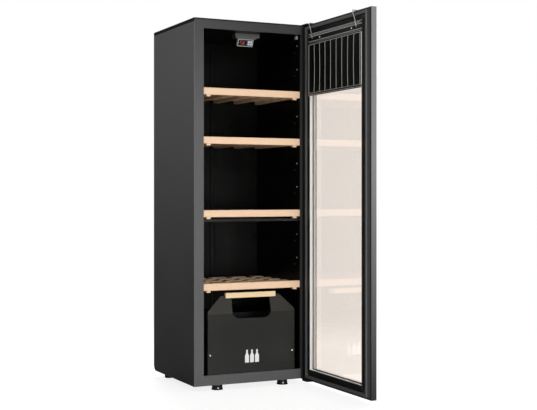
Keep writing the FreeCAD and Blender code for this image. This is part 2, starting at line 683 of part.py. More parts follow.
def feet():
    for name, side in (("front_foot_left", -1), ("front_foot_right", 1)):
        top = foot_height - glide
        profile = [(0, 0), (25, 0), (27.5, 1.5), (27.5, 3.5), (22.5, top - 1), (21.5, top),
                   (foot_stud, top), (foot_stud, foot_height + 12),
                   (foot_stud - 1, foot_height + 13), (0, foot_height + 13)]
        save(name, [turned(profile, (side * foot_x, foot_y, 0))])
    rear = [turned([(0, 0), (20, 0), (22, 2), (22, foot_height - 6), (26, foot_height - 4), (26, foot_height),
                    (0, foot_height)], (s * rear_foot_x, rear_foot_y, 0)) for s in (-1, 1)]
    save("rear_feet", rear)


def machine():
    cx, cy = -110.0, (machine_y + case_depth) / 2
    low = foot_height + 3
    shell = turned([(0, 16), (60, 16), (72, 26), (76, 40), (76, 96), (79, 98), (79, 102), (76, 104), (74, 130),
                    (60, 150), (30, 158), (0, 160)], (cx, cy, low))
    plate = box(cx - 90, cx + 90, cy - 70, cy + 70, low + 10, low + 13)
    hub = rod((cx, cy, low + 12), (cx, cy, low + 20), 50)
    relay = softened(box(cx + 74, cx + 106, cy - 28, cy + 28, low + 50, low + 110), 3.0, along(Z_AXIS))
    shell = fuse([shell, plate, hub])
    save("compressor", [shell, relay.cut(shell)])
    mounts = []
    for sx in (-1, 1):
        for sy in (-1, 1):
            x, y = cx + sx * 78, cy + sy * 58
            mounts.append(turned([(0, 0), (11, 0), (11, 3), (8, 5), (11, 7), (11, 10), (0, 10)], (x, y, low)))
    save("compressor_mounts", mounts)
    pan = box(cx - 80, cx + 80, cy - 80, cy + 80, low + 172, low + 196)
    pan = softened(pan, 10.0, along(Z_AXIS))
    hollow = softened(box(cx - 78, cx + 78, cy - 78, cy + 78, low + 174, low + 200), 8.0, along(Z_AXIS))
    save("drip_pan", [pan.cut(hollow)])

    inlet_x, inlet_z = 200.0, foot_height + 48
    y1 = case_depth - 2
    block = softened(box(inlet_x - 17, inlet_x + 17, y1 - 24, y1, inlet_z - 14, inlet_z + 14), 2.0, along(Y_AXIS))
    socket = box(inlet_x - 12, inlet_x + 12, y1 - 18, y1 + 1, inlet_z - 8.25, inlet_z + 8.25)
    pins = [box(x - 1, x + 1, y1 - 20, y1 - 6, z - 2, z + 2)
            for x, z in ((inlet_x - 7, inlet_z - 2), (inlet_x + 7, inlet_z - 2), (inlet_x, inlet_z + 2))]
    bracket = box(inlet_x - 24, inlet_x + 24, y1 - 27, y1 - 24, low, inlet_z + 20)
    save("power_inlet", [block.cut(socket), bracket] + [p.common(socket) for p in pins])

    coil_half, coil_y = 215.0, case_depth + condenser_reach - 6
    coil_low, coil_high, runs = step_z + 10, cap_z - 170, 15
    pitch = (coil_high - coil_low) / (runs - 1)
    points = []
    for k in range(runs):
        side = -1 if k % 2 == 0 else 1
        points += [(side * coil_half, coil_y, coil_low + k * pitch), (-side * coil_half, coil_y, coil_low + k * pitch)]
    coil = tube(points, 2.5, 20.0)
    wires = []
    count = 23
    for k in range(count):
        x = -coil_half + 30 + k * (2 * coil_half - 60) / (count - 1)
        wires.append(rod((x, coil_y + 3.7, coil_low - 20), (x, coil_y + 3.7, coil_high + 20), 1.2))
    for z in (coil_low + pitch * 1.5, coil_high - pitch * 1.5):
        for s in (-1, 1):
            x = s * (coil_half - 14)
            wires.append(box(x - 8, x + 8, case_depth, coil_y - 2.5, z - pitch * 0.6, z + pitch * 0.6))
    save("condenser", [coil] + wires)

    pipe_y = coil_y
    discharge = tube([(cx - 30, cy + 60, low + 168), (cx - 30, pipe_y, low + 168), (-coil_half - 14, pipe_y, low + 168),
                      (-coil_half - 14, pipe_y, coil_low), (-coil_half, pipe_y, coil_low)], 2.4, 14.0)
    drop_x, drier_top = coil_half + 14, machine_top - 10
    liquid = tube([(coil_half, pipe_y, coil_high), (drop_x, pipe_y, coil_high), (drop_x, pipe_y, drier_top)],
                  1.6, 8.0)
    drier = rod((drop_x, pipe_y, drier_top - 90), (drop_x, pipe_y, drier_top), 6.0)
    save("refrigerant_pipes", [discharge, drier, liquid])


os.makedirs("parts", exist_ok=True)
case_panels()
liner_and_foam()
shelves()
pull_out_tray()
bottle_bin()
controls()
hinges()
door()
door_rack()
feet()
machine()
print("nodes", len(os.listdir("parts")))
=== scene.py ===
import math

import bmesh
import bpy
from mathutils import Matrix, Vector


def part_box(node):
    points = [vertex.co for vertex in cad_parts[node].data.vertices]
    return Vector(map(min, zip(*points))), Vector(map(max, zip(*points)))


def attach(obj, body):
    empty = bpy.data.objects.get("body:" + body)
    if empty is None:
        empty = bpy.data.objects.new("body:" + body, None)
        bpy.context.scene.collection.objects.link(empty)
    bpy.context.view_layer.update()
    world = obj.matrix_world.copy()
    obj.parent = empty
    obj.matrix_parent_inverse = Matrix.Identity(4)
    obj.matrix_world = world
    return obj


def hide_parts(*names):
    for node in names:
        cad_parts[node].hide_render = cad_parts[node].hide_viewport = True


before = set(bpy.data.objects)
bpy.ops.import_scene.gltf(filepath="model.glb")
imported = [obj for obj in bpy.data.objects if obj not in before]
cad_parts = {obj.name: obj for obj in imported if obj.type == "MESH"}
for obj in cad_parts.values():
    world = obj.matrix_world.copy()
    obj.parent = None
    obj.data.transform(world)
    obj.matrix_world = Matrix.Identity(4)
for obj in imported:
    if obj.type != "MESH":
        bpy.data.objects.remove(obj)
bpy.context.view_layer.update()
bpy.context.scene.view_settings.view_transform = "Standard"
print("frame loaded")


def addNode(tree, kind, **settings):
    made = tree.nodes.new(kind)
    for key, value in settings.items():
        setattr(made, key, value)
    return made


def wire(tree, source, target):
    tree.links.new(source, target)


def mathNode(tree, operation, first, second=None):
    made = addNode(tree, "ShaderNodeMath", operation=operation)
    for slotIndex, value in enumerate((first, second)):
        if value is None:
            continue
        if isinstance(value, (int, float)):
            made.inputs[slotIndex].default_value = value
        else:
            wire(tree, value, made.inputs[slotIndex])
    return made.outputs[0]


def objectPoint(tree):
    return addNode(tree, "ShaderNodeTexCoord").outputs["Object"]


def noise(tree, point, scale, detail=2.0, rough=0.5):
    made = addNode(tree, "ShaderNodeTexNoise")
    wire(tree, point, made.inputs["Vector"])
    if isinstance(scale, (int, float)):
        made.inputs["Scale"].default_value = scale
    else:
        wire(tree, scale, made.inputs["Scale"])
    made.inputs["Detail"].default_value = detail
    made.inputs["Roughness"].default_value = rough
    return made.outputs["Fac"]


def mixColor(tree, factor, first, second):
    made = addNode(tree, "ShaderNodeMix", data_type="RGBA")
    for name, kind, value in (("Factor", "VALUE", factor), ("A", "RGBA", first), ("B", "RGBA", second)):
        target = next(s for s in made.inputs if s.name == name and s.type == kind)
        if isinstance(value, (int, float)):
            target.default_value = value
        elif isinstance(value, (tuple, list)):
            target.default_value = (*value[:3], 1.0)
        else:
            wire(tree, value, target)
    return next(s for s in made.outputs if s.type == "RGBA")


def spread(tree, value, low, high, outLow=0.0, outHigh=1.0):
    made = addNode(tree, "ShaderNodeMapRange")
    wire(tree, value, made.inputs["Value"])
    for name, number in (("From Min", low), ("From Max", high), ("To Min", outLow), ("To Max", outHigh)):
        made.inputs[name].default_value = number
    return made.outputs["Result"]


def newGroup(name, inputs, outputs):
    group = bpy.data.node_groups.new(name, "ShaderNodeTree")
    for label, kind, value in inputs:
        made = group.interface.new_socket(label, in_out="INPUT", socket_type="NodeSocket" + kind)
        if value is not None:
            made.default_value = value
    for label, kind in outputs:
        group.interface.new_socket(label, in_out="OUTPUT", socket_type="NodeSocket" + kind)
    return group, group.nodes.new("NodeGroupInput").outputs, group.nodes.new("NodeGroupOutput").inputs


def useGroup(tree, group, **values):
    made = addNode(tree, "ShaderNodeGroup", node_tree=group)
    for label, value in values.items():
        target = made.inputs[label]
        if hasattr(value, "is_output"):
            wire(tree, value, target)
        elif isinstance(value, (tuple, list)) and target.type == "RGBA":
            target.default_value = (*value[:3], 1.0)
        else:
            target.default_value = value
    return made.outputs


def makePaintSkin():
    # fine powder-coat skin with slow changes of tone
    group, given, out = newGroup("paintSkin", [("Base", "Color", (0.1, 0.1, 0.1, 1)), ("Grain", "Float", 700.0),
                                               ("Vary", "Float", 0.15)],
                                 [("Color", "Color"), ("Height", "Float"), ("Rough", "Float")])
    point = objectPoint(group)
    fine = noise(group, point, given["Grain"], 3.0, 0.6)
    pits = addNode(group, "ShaderNodeTexVoronoi", feature="SMOOTH_F1")
    wire(group, point, pits.inputs["Vector"])
    wire(group, given["Grain"], pits.inputs["Scale"])
    height = mathNode(group, "ADD", mathNode(group, "MULTIPLY", fine, 0.6),
                      mathNode(group, "MULTIPLY", pits.outputs["Distance"], 0.5))
    slow = noise(group, point, 2.2, 3.0, 0.55)
    speck = spread(group, fine, 0.35, 0.75, -0.5, 0.5)
    shift = mathNode(group, "MULTIPLY", mathNode(group, "ADD", mathNode(group, "SUBTRACT", slow, 0.5), speck),
                     given["Vary"])
    tint = addNode(group, "ShaderNodeHueSaturation")
    wire(group, given["Base"], tint.inputs["Color"])
    wire(group, mathNode(group, "ADD", shift, 1.0), tint.inputs["Value"])
    wire(group, tint.outputs["Color"], out["Color"])
    wire(group, height, out["Height"])
    wire(group, mathNode(group, "MULTIPLY", mathNode(group, "SUBTRACT", slow, 0.5), 0.25), out["Rough"])
    return group


def makeBoxEdge():
    # bright along the edges of a box between two corners
    group, given, out = newGroup("boxEdge", [("Low", "Vector", (0, 0, 0)), ("High", "Vector", (1, 1, 1)),
                                             ("Width", "Float", 0.003)], [("Mask", "Float")])
    point = objectPoint(group)
    low = addNode(group, "ShaderNodeVectorMath", operation="SUBTRACT")
    wire(group, point, low.inputs[0])
    wire(group, given["Low"], low.inputs[1])
    high = addNode(group, "ShaderNodeVectorMath", operation="SUBTRACT")
    wire(group, given["High"], high.inputs[0])
    wire(group, point, high.inputs[1])
    least = addNode(group, "ShaderNodeVectorMath", operation="MINIMUM")
    wire(group, low.outputs[0], least.inputs[0])
    wire(group, high.outputs[0], least.inputs[1])
    parts = addNode(group, "ShaderNodeSeparateXYZ")
    wire(group, least.outputs[0], parts.inputs[0])
    smaller = mathNode(group, "MINIMUM", parts.outputs[0], parts.outputs[1])
    larger = mathNode(group, "MAXIMUM", parts.outputs[0], parts.outputs[1])
    second = mathNode(group, "MAXIMUM", smaller, mathNode(group, "MINIMUM", larger, parts.outputs[2]))
    ragged = noise(group, point, 160.0, 3.0, 0.7)
    reach = mathNode(group, "MULTIPLY", given["Width"], mathNode(group, "MULTIPLY", ragged, 2.0))
    mask = mathNode(group, "SUBTRACT", 1.0, mathNode(group, "DIVIDE", second, reach))
    made = addNode(group, "ShaderNodeClamp")
    wire(group, mask, made.inputs["Value"])
    wire(group, made.outputs[0], out["Mask"])
    return group


def makeWoodGrain():
    # long fibres, annual lines, small medullary flecks
    group, given, out = newGroup("woodGrain", [("Light", "Color", (0.8, 0.6, 0.4, 1)),
                                               ("Dark", "Color", (0.6, 0.4, 0.25, 1)),
                                               ("Stretch", "Vector", (1.0, 14.0, 14.0)),
                                               ("Seed", "Float", 0.0)],
                                 [("Color", "Color"), ("Height", "Float"), ("Rough", "Float")])
    point = objectPoint(group)
    moved = addNode(group, "ShaderNodeVectorMath", operation="MULTIPLY_ADD")
    wire(group, point, moved.inputs[0])
    wire(group, given["Stretch"], moved.inputs[1])
    offset = addNode(group, "ShaderNodeCombineXYZ")
    for k in range(3):
        wire(group, given["Seed"], offset.inputs[k])
    wire(group, offset.outputs[0], moved.inputs[2])
    rings = noise(group, moved.outputs[0], 5.0, 4.0, 0.6)
    lines = mathNode(group, "SINE", mathNode(group, "MULTIPLY", rings, 60.0))
    fibres = noise(group, moved.outputs[0], 38.0, 3.0, 0.7)
    flecks = spread(group, noise(group, moved.outputs[0], 90.0, 1.0, 0.5), 0.66, 0.74)
    blend = mathNode(group, "ADD", mathNode(group, "MULTIPLY", spread(group, lines, -1.0, 1.0), 0.28),
                     mathNode(group, "MULTIPLY", fibres, 0.55))
    tone = mixColor(group, blend, given["Light"], given["Dark"])
    tone = mixColor(group, mathNode(group, "MULTIPLY", flecks, 0.35), tone, given["Dark"])
    wire(group, tone, out["Color"])
    sunkFlecks = mathNode(group, "MULTIPLY", flecks, -0.4)
    wire(group, mathNode(group, "ADD", mathNode(group, "MULTIPLY", fibres, 0.7), sunkFlecks), out["Height"])
    wire(group, mathNode(group, "MULTIPLY", fibres, 0.2), out["Rough"])
    return group


def makeBrushed():
    # drawn lines along one direction
    group, given, out = newGroup("brushedLines", [("Stretch", "Vector", (4.0, 4.0, 900.0)),
                                                  ("Depth", "Float", 0.2)],
                                 [("Height", "Float"), ("Rough", "Float")])
    moved = addNode(group, "ShaderNodeVectorMath", operation="MULTIPLY")
    wire(group, objectPoint(group), moved.inputs[0])
    wire(group, given["Stretch"], moved.inputs[1])
    lines = noise(group, moved.outputs[0], 1.0, 4.0, 0.7)
    wire(group, lines, out["Height"])
    wire(group, mathNode(group, "MULTIPLY", lines, given["Depth"]), out["Rough"])
    return group


def makeDust():
    # light settling on faces that look up, in soft patches
    group, given, out = newGroup("restingDust", [("Amount", "Float", 0.2)], [("Mask", "Float")])
    geometry = addNode(group, "ShaderNodeNewGeometry")
    parts = addNode(group, "ShaderNodeSeparateXYZ")
    wire(group, geometry.outputs["Normal"], parts.inputs[0])
    up = spread(group, parts.outputs[2], 0.4, 1.0)
    patches = spread(group, noise(group, objectPoint(group), 9.0, 5.0, 0.65), 0.35, 0.75)
    settled = mathNode(group, "MULTIPLY", up, patches)
    wire(group, mathNode(group, "MULTIPLY", settled, given["Amount"]), out["Mask"])
    return group


def makePaintedShadeDrop():
    # painted shade: 1 at the top of a piece, falling to a smaller share at its foot, where the colour is darkened as
    # if less light reached it
    group, given, out = newGroup("paintedShadeDrop", [("Low", "Float", 0.0), ("High", "Float", 1.7),
                                              ("Least", "Float", 0.5)], [("Share", "Float")])
    parts = addNode(group, "ShaderNodeSeparateXYZ")
    wire(group, objectPoint(group), parts.inputs[0])
    made = addNode(group, "ShaderNodeMapRange", interpolation_type="SMOOTHSTEP")
    wire(group, parts.outputs[2], made.inputs["Value"])
    wire(group, given["Low"], made.inputs["From Min"])
    wire(group, given["High"], made.inputs["From Max"])
    wire(group, given["Least"], made.inputs["To Min"])
    wire(group, made.outputs["Result"], out["Share"])
    return group


paintSkin, boxEdge, woodGrain = makePaintSkin(), makeBoxEdge(), makeWoodGrain()
brushedLines, restingDust, paintedShadeDrop = makeBrushed(), makeDust(), makePaintedShadeDrop()


def newMaterial(name):
    material = bpy.data.materials.new(name)
    material.use_nodes = True
    tree = material.node_tree
    shader = tree.nodes["Principled BSDF"]
    return material, tree, shader


def bumpInto(tree, shader, height, strength, distance):
    made = addNode(tree, "ShaderNodeBump")
    made.inputs["Strength"].default_value = strength
    made.inputs["Distance"].default_value = distance
    wire(tree, height, made.inputs["Height"])
    wire(tree, made.outputs["Normal"], shader.inputs["Normal"])


# what a coated finish has unless its look says otherwise
coatUsual = {"grain": 700.0, "vary": 0.15, "bump": 0.15, "bumpDepth": 0.0004, "specular": 0.5,
             "coatRough": 0.15, "dust": 0.06, "dustTone": (0.45, 0.44, 0.42), "shadedShare": 0.25,
             "rim": 0.4, "rimWidth": 0.003, "rimTone": (0.3, 0.3, 0.31)}


def coated(name, look, edges=None):
    # painted metal or moulded plastic; edges is a pair of box corners whose rim is rubbed lighter
    look = {**coatUsual, **look}
    material, tree, shader = newMaterial(name)
    skin = useGroup(tree, paintSkin, Base=look["color"], Grain=look["grain"], Vary=look["vary"])
    color = skin["Color"]
    # painted shade: the colour darkens towards the piece's foot
    if "falloff" in look:
        low, high, least = look["falloff"]
        share = useGroup(tree, paintedShadeDrop, Low=low, High=high, Least=least)["Share"]
        color = mixColor(tree, share, tuple(c * look["shadedShare"] for c in look["color"]), color)
    if edges is not None:
        rim = useGroup(tree, boxEdge, Low=edges[0], High=edges[1], Width=look["rimWidth"])
        color = mixColor(tree, mathNode(tree, "MULTIPLY", rim["Mask"], look["rim"]), color, look["rimTone"])
    dust = useGroup(tree, restingDust, Amount=look["dust"])
    color = mixColor(tree, dust["Mask"], color, look["dustTone"])
    wire(tree, color, shader.inputs["Base Color"])
    wire(tree, mathNode(tree, "ADD", skin["Rough"], look["rough"]), shader.inputs["Roughness"])
    shader.inputs["Specular IOR Level"].default_value = look["specular"]
    if "coat" in look:
        shader.inputs["Coat Weight"].default_value = look["coat"]
        shader.inputs["Coat Roughness"].default_value = look["coatRough"]
    bumpInto(tree, shader, skin["Height"], look["bump"], look["bumpDepth"])
    return material


def banded(name, look, bands):
    # coated finish with other tones between two planes; a band is (axis, low, high, tone, softness)
    material = coated(name, look)
    tree = material.node_tree
    shader = tree.nodes["Principled BSDF"]
    color = shader.inputs["Base Color"].links[0].from_socket
    parts = addNode(tree, "ShaderNodeSeparateXYZ")
    wire(tree, objectPoint(tree), parts.inputs[0])
    for axis, low, high, tone, soft in bands:
        rise = spread(tree, parts.outputs[axis], low - soft, low + soft)
        fall = spread(tree, parts.outputs[axis], high - soft, high + soft, 1.0, 0.0)
        color = mixColor(tree, mathNode(tree, "MULTIPLY", rise, fall), color, tone)
    wire(tree, color, shader.inputs["Base Color"])
    return material


woodUsual = {"seed": 0.0, "rough": 0.42, "coat": 0.12, "coatRough": 0.35, "bump": 0.18, "bumpDepth": 0.0005}


def wooden(name, look):
    look = {**woodUsual, **look}
    material, tree, shader = newMaterial(name)
    grain = useGroup(tree, woodGrain, Light=look["light"], Dark=look["dark"], Stretch=look["stretch"],
                     Seed=look["seed"])
    wire(tree, grain["Color"], shader.inputs["Base Color"])
    wire(tree, mathNode(tree, "ADD", grain["Rough"], look["rough"]), shader.inputs["Roughness"])
    shader.inputs["Coat Weight"].default_value = look["coat"]
    shader.inputs["Coat Roughness"].default_value = look["coatRough"]
    bumpInto(tree, shader, grain["Height"], look["bump"], look["bumpDepth"])
    return material


metalUsual = {"stretch": (6.0, 6.0, 800.0), "depth": 0.2, "grain": 300.0, "vary": 0.12, "bump": 0.08,
              "bumpDepth": 0.0002}


def metallic(name, look):
    look = {**metalUsual, **look}
    material, tree, shader = newMaterial(name)
    lines = useGroup(tree, brushedLines, Stretch=look["stretch"], Depth=look["depth"])
    skin = useGroup(tree, paintSkin, Base=look["color"], Grain=look["grain"], Vary=look["vary"])
    wire(tree, skin["Color"], shader.inputs["Base Color"])
    wire(tree, mathNode(tree, "ADD", lines["Rough"], look["rough"]), shader.inputs["Roughness"])
    shader.inputs["Metallic"].default_value = 1.0
    bumpInto(tree, shader, lines["Height"], look["bump"], look["bumpDepth"])
    return material


def glazed(name, look):
    material, tree, shader = newMaterial(name)
    smears = noise(tree, objectPoint(tree), look["smears"], 4.0, 0.6)
    tone = mixColor(tree, smears, look["color"], look["other"])
    wire(tree, tone, shader.inputs["Base Color"])
    smeared = look["rough"] + look["smearRough"]
    wire(tree, spread(tree, smears, 0.3, 0.8, look["rough"], smeared), shader.inputs["Roughness"])
    shader.inputs["Transmission Weight"].default_value = 1.0
    shader.inputs["IOR"].default_value = look["ior"]
    return material


def glowing(name, look):
    material, tree, shader = newMaterial(name)
    patches = noise(tree, objectPoint(tree), look["patches"], 2.0, 0.5)
    tone = mixColor(tree, patches, look["color"], look["other"])
    wire(tree, tone, shader.inputs["Emission Color"])
    wire(tree, tone, shader.inputs["Base Color"])
    shader.inputs["Emission Strength"].default_value = look["strength"]
    shader.inputs["Roughness"].default_value = look["rough"]
    return material


def dress(material, *names):
    # gives CAD nodes their finish
    for name in names:
        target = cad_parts[name]
        target.data.materials.clear()
        target.data.materials.append(material)


def around(name):
    low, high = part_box(name)
    return tuple(low), tuple(high)


looks = {
    # the case steel carries a painted shade that darkens it towards its foot
    "caseSteel": {"color": (0.125, 0.125, 0.1255), "rough": 0.45, "falloff": (0.1, 1.6, 0.0), "grain": 620.0,
                  "vary": 0.22, "bump": 0.3, "specular": 0.1, "dust": 0.0},
    "capPlastic": {"color": (0.014, 0.014, 0.015), "rough": 0.6, "grain": 420.0, "specular": 0.06,
                   "dust": 0.02},
    "frameGrey": {"color": (0.062, 0.062, 0.063), "rough": 0.45, "grain": 520.0, "vary": 0.25, "bump": 0.3},
    "doorPaint": {"color": (0.030, 0.030, 0.0305), "rough": 0.4, "grain": 620.0, "vary": 0.2, "bump": 0.25,
                  "specular": 0.25},
    "linerBlack": {"color": (0.0022, 0.0022, 0.0019), "rough": 0.3, "grain": 260.0, "vary": 0.3, "bump": 0.2,
                   "specular": 0.1, "dust": 0.0},
    "doorBlack": {"color": (0.005, 0.005, 0.005), "rough": 0.28, "grain": 420.0, "specular": 0.2},
    "gasketRubber": {"color": (0.10, 0.10, 0.10), "rough": 0.45, "grain": 500.0, "specular": 0.5},
    "binBlack": {"color": (0.004, 0.0045, 0.0030), "rough": 0.42, "grain": 520.0, "bump": 0.25, "vary": 0.5,
                 "specular": 0.3, "dust": 0.0},
    "trayBlack": {"color": (0.004, 0.004, 0.004), "rough": 0.35, "grain": 520.0, "specular": 0.3},
    "rackBlack": {"color": (0.006, 0.006, 0.005), "rough": 0.3, "grain": 520.0, "specular": 0.35},
    "rackSheetBlack": {"color": (0.004, 0.0045, 0.0028), "rough": 0.26, "grain": 520.0, "specular": 0.18},
    "rackWireGrey": {"color": (0.26, 0.26, 0.25), "rough": 0.35, "grain": 520.0},
    "lampGrey": {"color": (0.085, 0.087, 0.08), "rough": 0.45, "grain": 420.0},
    "controlGrey": {"color": (0.45, 0.45, 0.43), "rough": 0.4, "grain": 600.0},
    "keyPale": {"color": (0.50, 0.60, 0.68), "rough": 0.35, "grain": 700.0},
    "hingeBlack": {"color": (0.008, 0.008, 0.008), "rough": 0.35, "grain": 420.0, "specular": 0.35},
    "footGloss": {"color": (0.006, 0.006, 0.006), "rough": 0.16, "grain": 300.0, "coat": 0.6, "bump": 0.05},
    "footMatte": {"color": (0.012, 0.012, 0.012), "rough": 0.6, "grain": 300.0},
    "machineBlack": {"color": (0.030, 0.030, 0.030), "rough": 0.3, "grain": 260.0, "dust": 0.2},
    "panPlastic": {"color": (0.03, 0.03, 0.03), "rough": 0.5, "grain": 260.0, "dust": 0.2},
    "inletPlastic": {"color": (0.014, 0.014, 0.014), "rough": 0.5, "grain": 400.0},
    "iconWhite": {"color": (0.85, 0.85, 0.84), "rough": 0.5, "grain": 500.0},
    "nylonWhite": {"color": (0.7, 0.7, 0.68), "rough": 0.5, "grain": 500.0},
    "foamCream": {"color": (0.75, 0.66, 0.42), "rough": 0.9, "grain": 200.0, "bump": 0.6},
    "displayDark": {"color": (0.004, 0.003, 0.003), "rough": 0.08, "grain": 200.0, "bump": 0.0,
                    "specular": 0.4},
    "mountRubber": {"color": (0.02, 0.02, 0.02), "rough": 0.7, "grain": 300.0},
    "spacerWhite": {"color": (0.80, 0.80, 0.79), "rough": 0.35, "grain": 500.0},
    "screwZinc": {"color": (0.85, 0.85, 0.82), "rough": 0.3, "grain": 500.0, "specular": 0.8},
    "rackBright": {"color": (0.50, 0.50, 0.47), "rough": 0.35, "grain": 500.0},
}

def topOf(name):
    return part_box(name)[1][2]


def footOf(name):
    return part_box(name)[0][2]


axisX, axisY, axisZ = 0, 1, 2
farBelow, farAbove = -9.0, 9.0

# each plain finish, and the nodes that have it
plainNodes = {
    "capPlastic": ("top_panel",),
    "caseSteel": ("rear_panel", "base_plate"),
    "linerBlack": ("liner_wall_left", "liner_wall_right", "liner_back", "liner_ceiling", "liner_floor",
                   "air_duct"),
    "gasketRubber": ("door_gasket",),
    "trayBlack": ("tray",),
    "rackSheetBlack": ("rack_sheet",),
    "rackWireGrey": ("rack_rods",),
    "lampGrey": ("lamp_housing",),
    "controlGrey": ("controller_housing", "light_switch_housing", "light_switch_rocker"),
    "keyPale": ("key_light", "key_up", "key_set", "key_down"),
    "displayDark": ("display_window",),
    "hingeBlack": ("hinge_plates",),
    "footGloss": ("front_foot_left", "front_foot_right"),
    "footMatte": ("rear_feet",),
    "machineBlack": ("compressor", "condenser"),
    "mountRubber": ("compressor_mounts",),
    "panPlastic": ("drip_pan",),
    "inletPlastic": ("power_inlet",),
    "iconWhite": ("bin_icon",),
    "nylonWhite": ("hinge_bushes",),
    "rackBright": (),
    "screwZinc": (),
}
finishes = {}
for name, nodeNames in plainNodes.items():
    finishes[name] = coated(name, looks[name])
    dress(finishes[name], *nodeNames)
for name in ("side_panel_left", "side_panel_right"):
    dress(coated("caseSteel_" + name, looks["caseSteel"], around(name)), name)

# painted light and shade on the front frame: painted shade at its top, painted light at its foot, and a painted
# shadow of the open door that turns the hinge-side post black
frameBands = {"hingePost": 0.0467, "hingeSoft": 0.0012, "hingeShadowTone": (0.006, 0.006, 0.006),
              "topFrom": 1.5, "topSoft": 0.25, "topShadeTone": (0.014, 0.014, 0.014),
              "footTo": 0.25, "footSoft": 0.2, "footTone": (0.085, 0.085, 0.086)}
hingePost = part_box("front_frame")[1][0] - frameBands["hingePost"]
dress(banded("frameGreyShaded", looks["frameGrey"], [
    (axisZ, frameBands["topFrom"], farAbove, frameBands["topShadeTone"], frameBands["topSoft"]),
    (axisZ, farBelow, frameBands["footTo"], frameBands["footTone"], frameBands["footSoft"]),
    (axisX, hingePost, farAbove, frameBands["hingeShadowTone"], frameBands["hingeSoft"])]), "front_frame")

# a painted highlight along the door's free edge, weaker towards its foot
doorBands = {"edge": 0.0006, "edgeSoft": 0.0004, "edgeHighlightTone": (0.19, 0.19, 0.191),
             "footTo": 0.55, "footSoft": 0.5, "footTone": (0.030, 0.030, 0.0305)}
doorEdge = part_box("door_frame")[0][1] + doorBands["edge"]
dress(banded("doorPaintEdgeHighlight", looks["doorPaint"], [
    (axisY, farBelow, doorEdge, doorBands["edgeHighlightTone"], doorBands["edgeSoft"]),
    (axisZ, farBelow, doorBands["footTo"], doorBands["footTone"], doorBands["footSoft"])]), "door_frame")

# painted light: the door trim is painted paler along the strip nearest its free edge, as if lit there
trimBands = {"edge": 0.058, "soft": 0.004, "tone": (0.030, 0.030, 0.030)}
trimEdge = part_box("door_trim")[0][1] + trimBands["edge"]
dress(banded("doorTrimShaded", looks["doorBlack"], [
    (axisY, farBelow, trimEdge, trimBands["tone"], trimBands["soft"])]), "door_trim")

# the foam round the compressor is sealed with a dark film
foamBands = {"filmTo": 0.291, "soft": 0.0005, "film": (0.03, 0.03, 0.03)}
dress(banded("foamSealed", looks["foamCream"], [
    (axisZ, farBelow, foamBands["filmTo"], foamBands["film"], foamBands["soft"])]), "foam_insulation")

# painted light: the bin's flap and foot are painted a little paler than its front, as if more light fell on them
binBands = {"flap": 0.082, "flapSoft": 0.001, "flapLitTone": (0.020, 0.018, 0.014),
            "foot": 0.09, "footSoft": 0.09, "footTone": (0.016, 0.017, 0.014)}
binFold, binFoot = topOf("bin_body") - binBands["flap"], footOf("bin_body") + binBands["foot"]
dress(banded("binShaded", looks["binBlack"], [
    (axisZ, binFold, farAbove, binBands["flapLitTone"], binBands["flapSoft"]),
    (axisZ, farBelow, binFoot, binBands["footTone"], binBands["footSoft"])]), "bin_body")

# bright folded lips of the rack's bands: heights under the rack's top, then over its foot
rackBands = {"lip": (0.52, 0.52, 0.49), "lipUnderTop": ((0.0016, -0.1), (0.0152, 0.0128), (0.0375, 0.0345)),
             "strip": (0.03, 0.03, 0.028), "stripUnderTop": (0.0500, 0.0375),
             "lowLipUnderTop": (0.0521, 0.0500), "lipOverFoot": ((0.0125, 0.0141), (0.0035, 0.0060)), "soft": 0.0002}
rackTop, rackFoot = topOf("rack_rails"), footOf("rack_rails")


def underTop(span, tone):
    return axisZ, rackTop - span[0], rackTop - span[1], tone, rackBands["soft"]


dress(banded("rackBands", looks["rackBlack"],
             [underTop(span, rackBands["lip"]) for span in rackBands["lipUnderTop"]]
             + [underTop(rackBands["stripUnderTop"], rackBands["strip"]),
                underTop(rackBands["lowLipUnderTop"], rackBands["lip"])]
             + [(axisZ, rackFoot + low, rackFoot + high, rackBands["lip"], rackBands["soft"])
                for low, high in rackBands["lipOverFoot"]]), "rack_rails")

# dark seal between the window's white lining and the spacer, which takes the glass's tone
spacerBands = {"pane": 0.014, "sealFrom": -0.002, "sealTo": 0.0012, "soft": 0.0003,
               "seal": (0.02, 0.02, 0.02), "spacer": (0.74, 0.68, 0.63)}
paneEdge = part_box("glass_spacer")[1][0] - spacerBands["pane"]
sealFrom, sealTo = paneEdge + spacerBands["sealFrom"], paneEdge + spacerBands["sealTo"]
dress(banded("spacerWhiteSealed", looks["spacerWhite"], [
    (axisX, sealTo, farAbove, spacerBands["spacer"], spacerBands["soft"]),
    (axisX, sealFrom, sealTo, spacerBands["seal"], spacerBands["soft"])]), "glass_spacer")

metals = {
    "zincSteel": {"color": (0.62, 0.62, 0.63), "rough": 0.28,
                  "nodes": ("wall_fittings", "case_screws", "evaporator_plate")},
    "brightSteel": {"color": (0.85, 0.85, 0.84), "rough": 0.14, "nodes": ("bin_screws", "rack_screws")},
    "hookSteel": {"color": (0.86, 0.84, 0.78), "rough": 0.25, "nodes": ("rack_hooks",)},
    "pipeCopper": {"color": (0.80, 0.44, 0.28), "rough": 0.3, "nodes": ("refrigerant_pipes",)},
}
for name, look in metals.items():
    finishes[name] = metallic(name, look)
    dress(finishes[name], *look["nodes"])

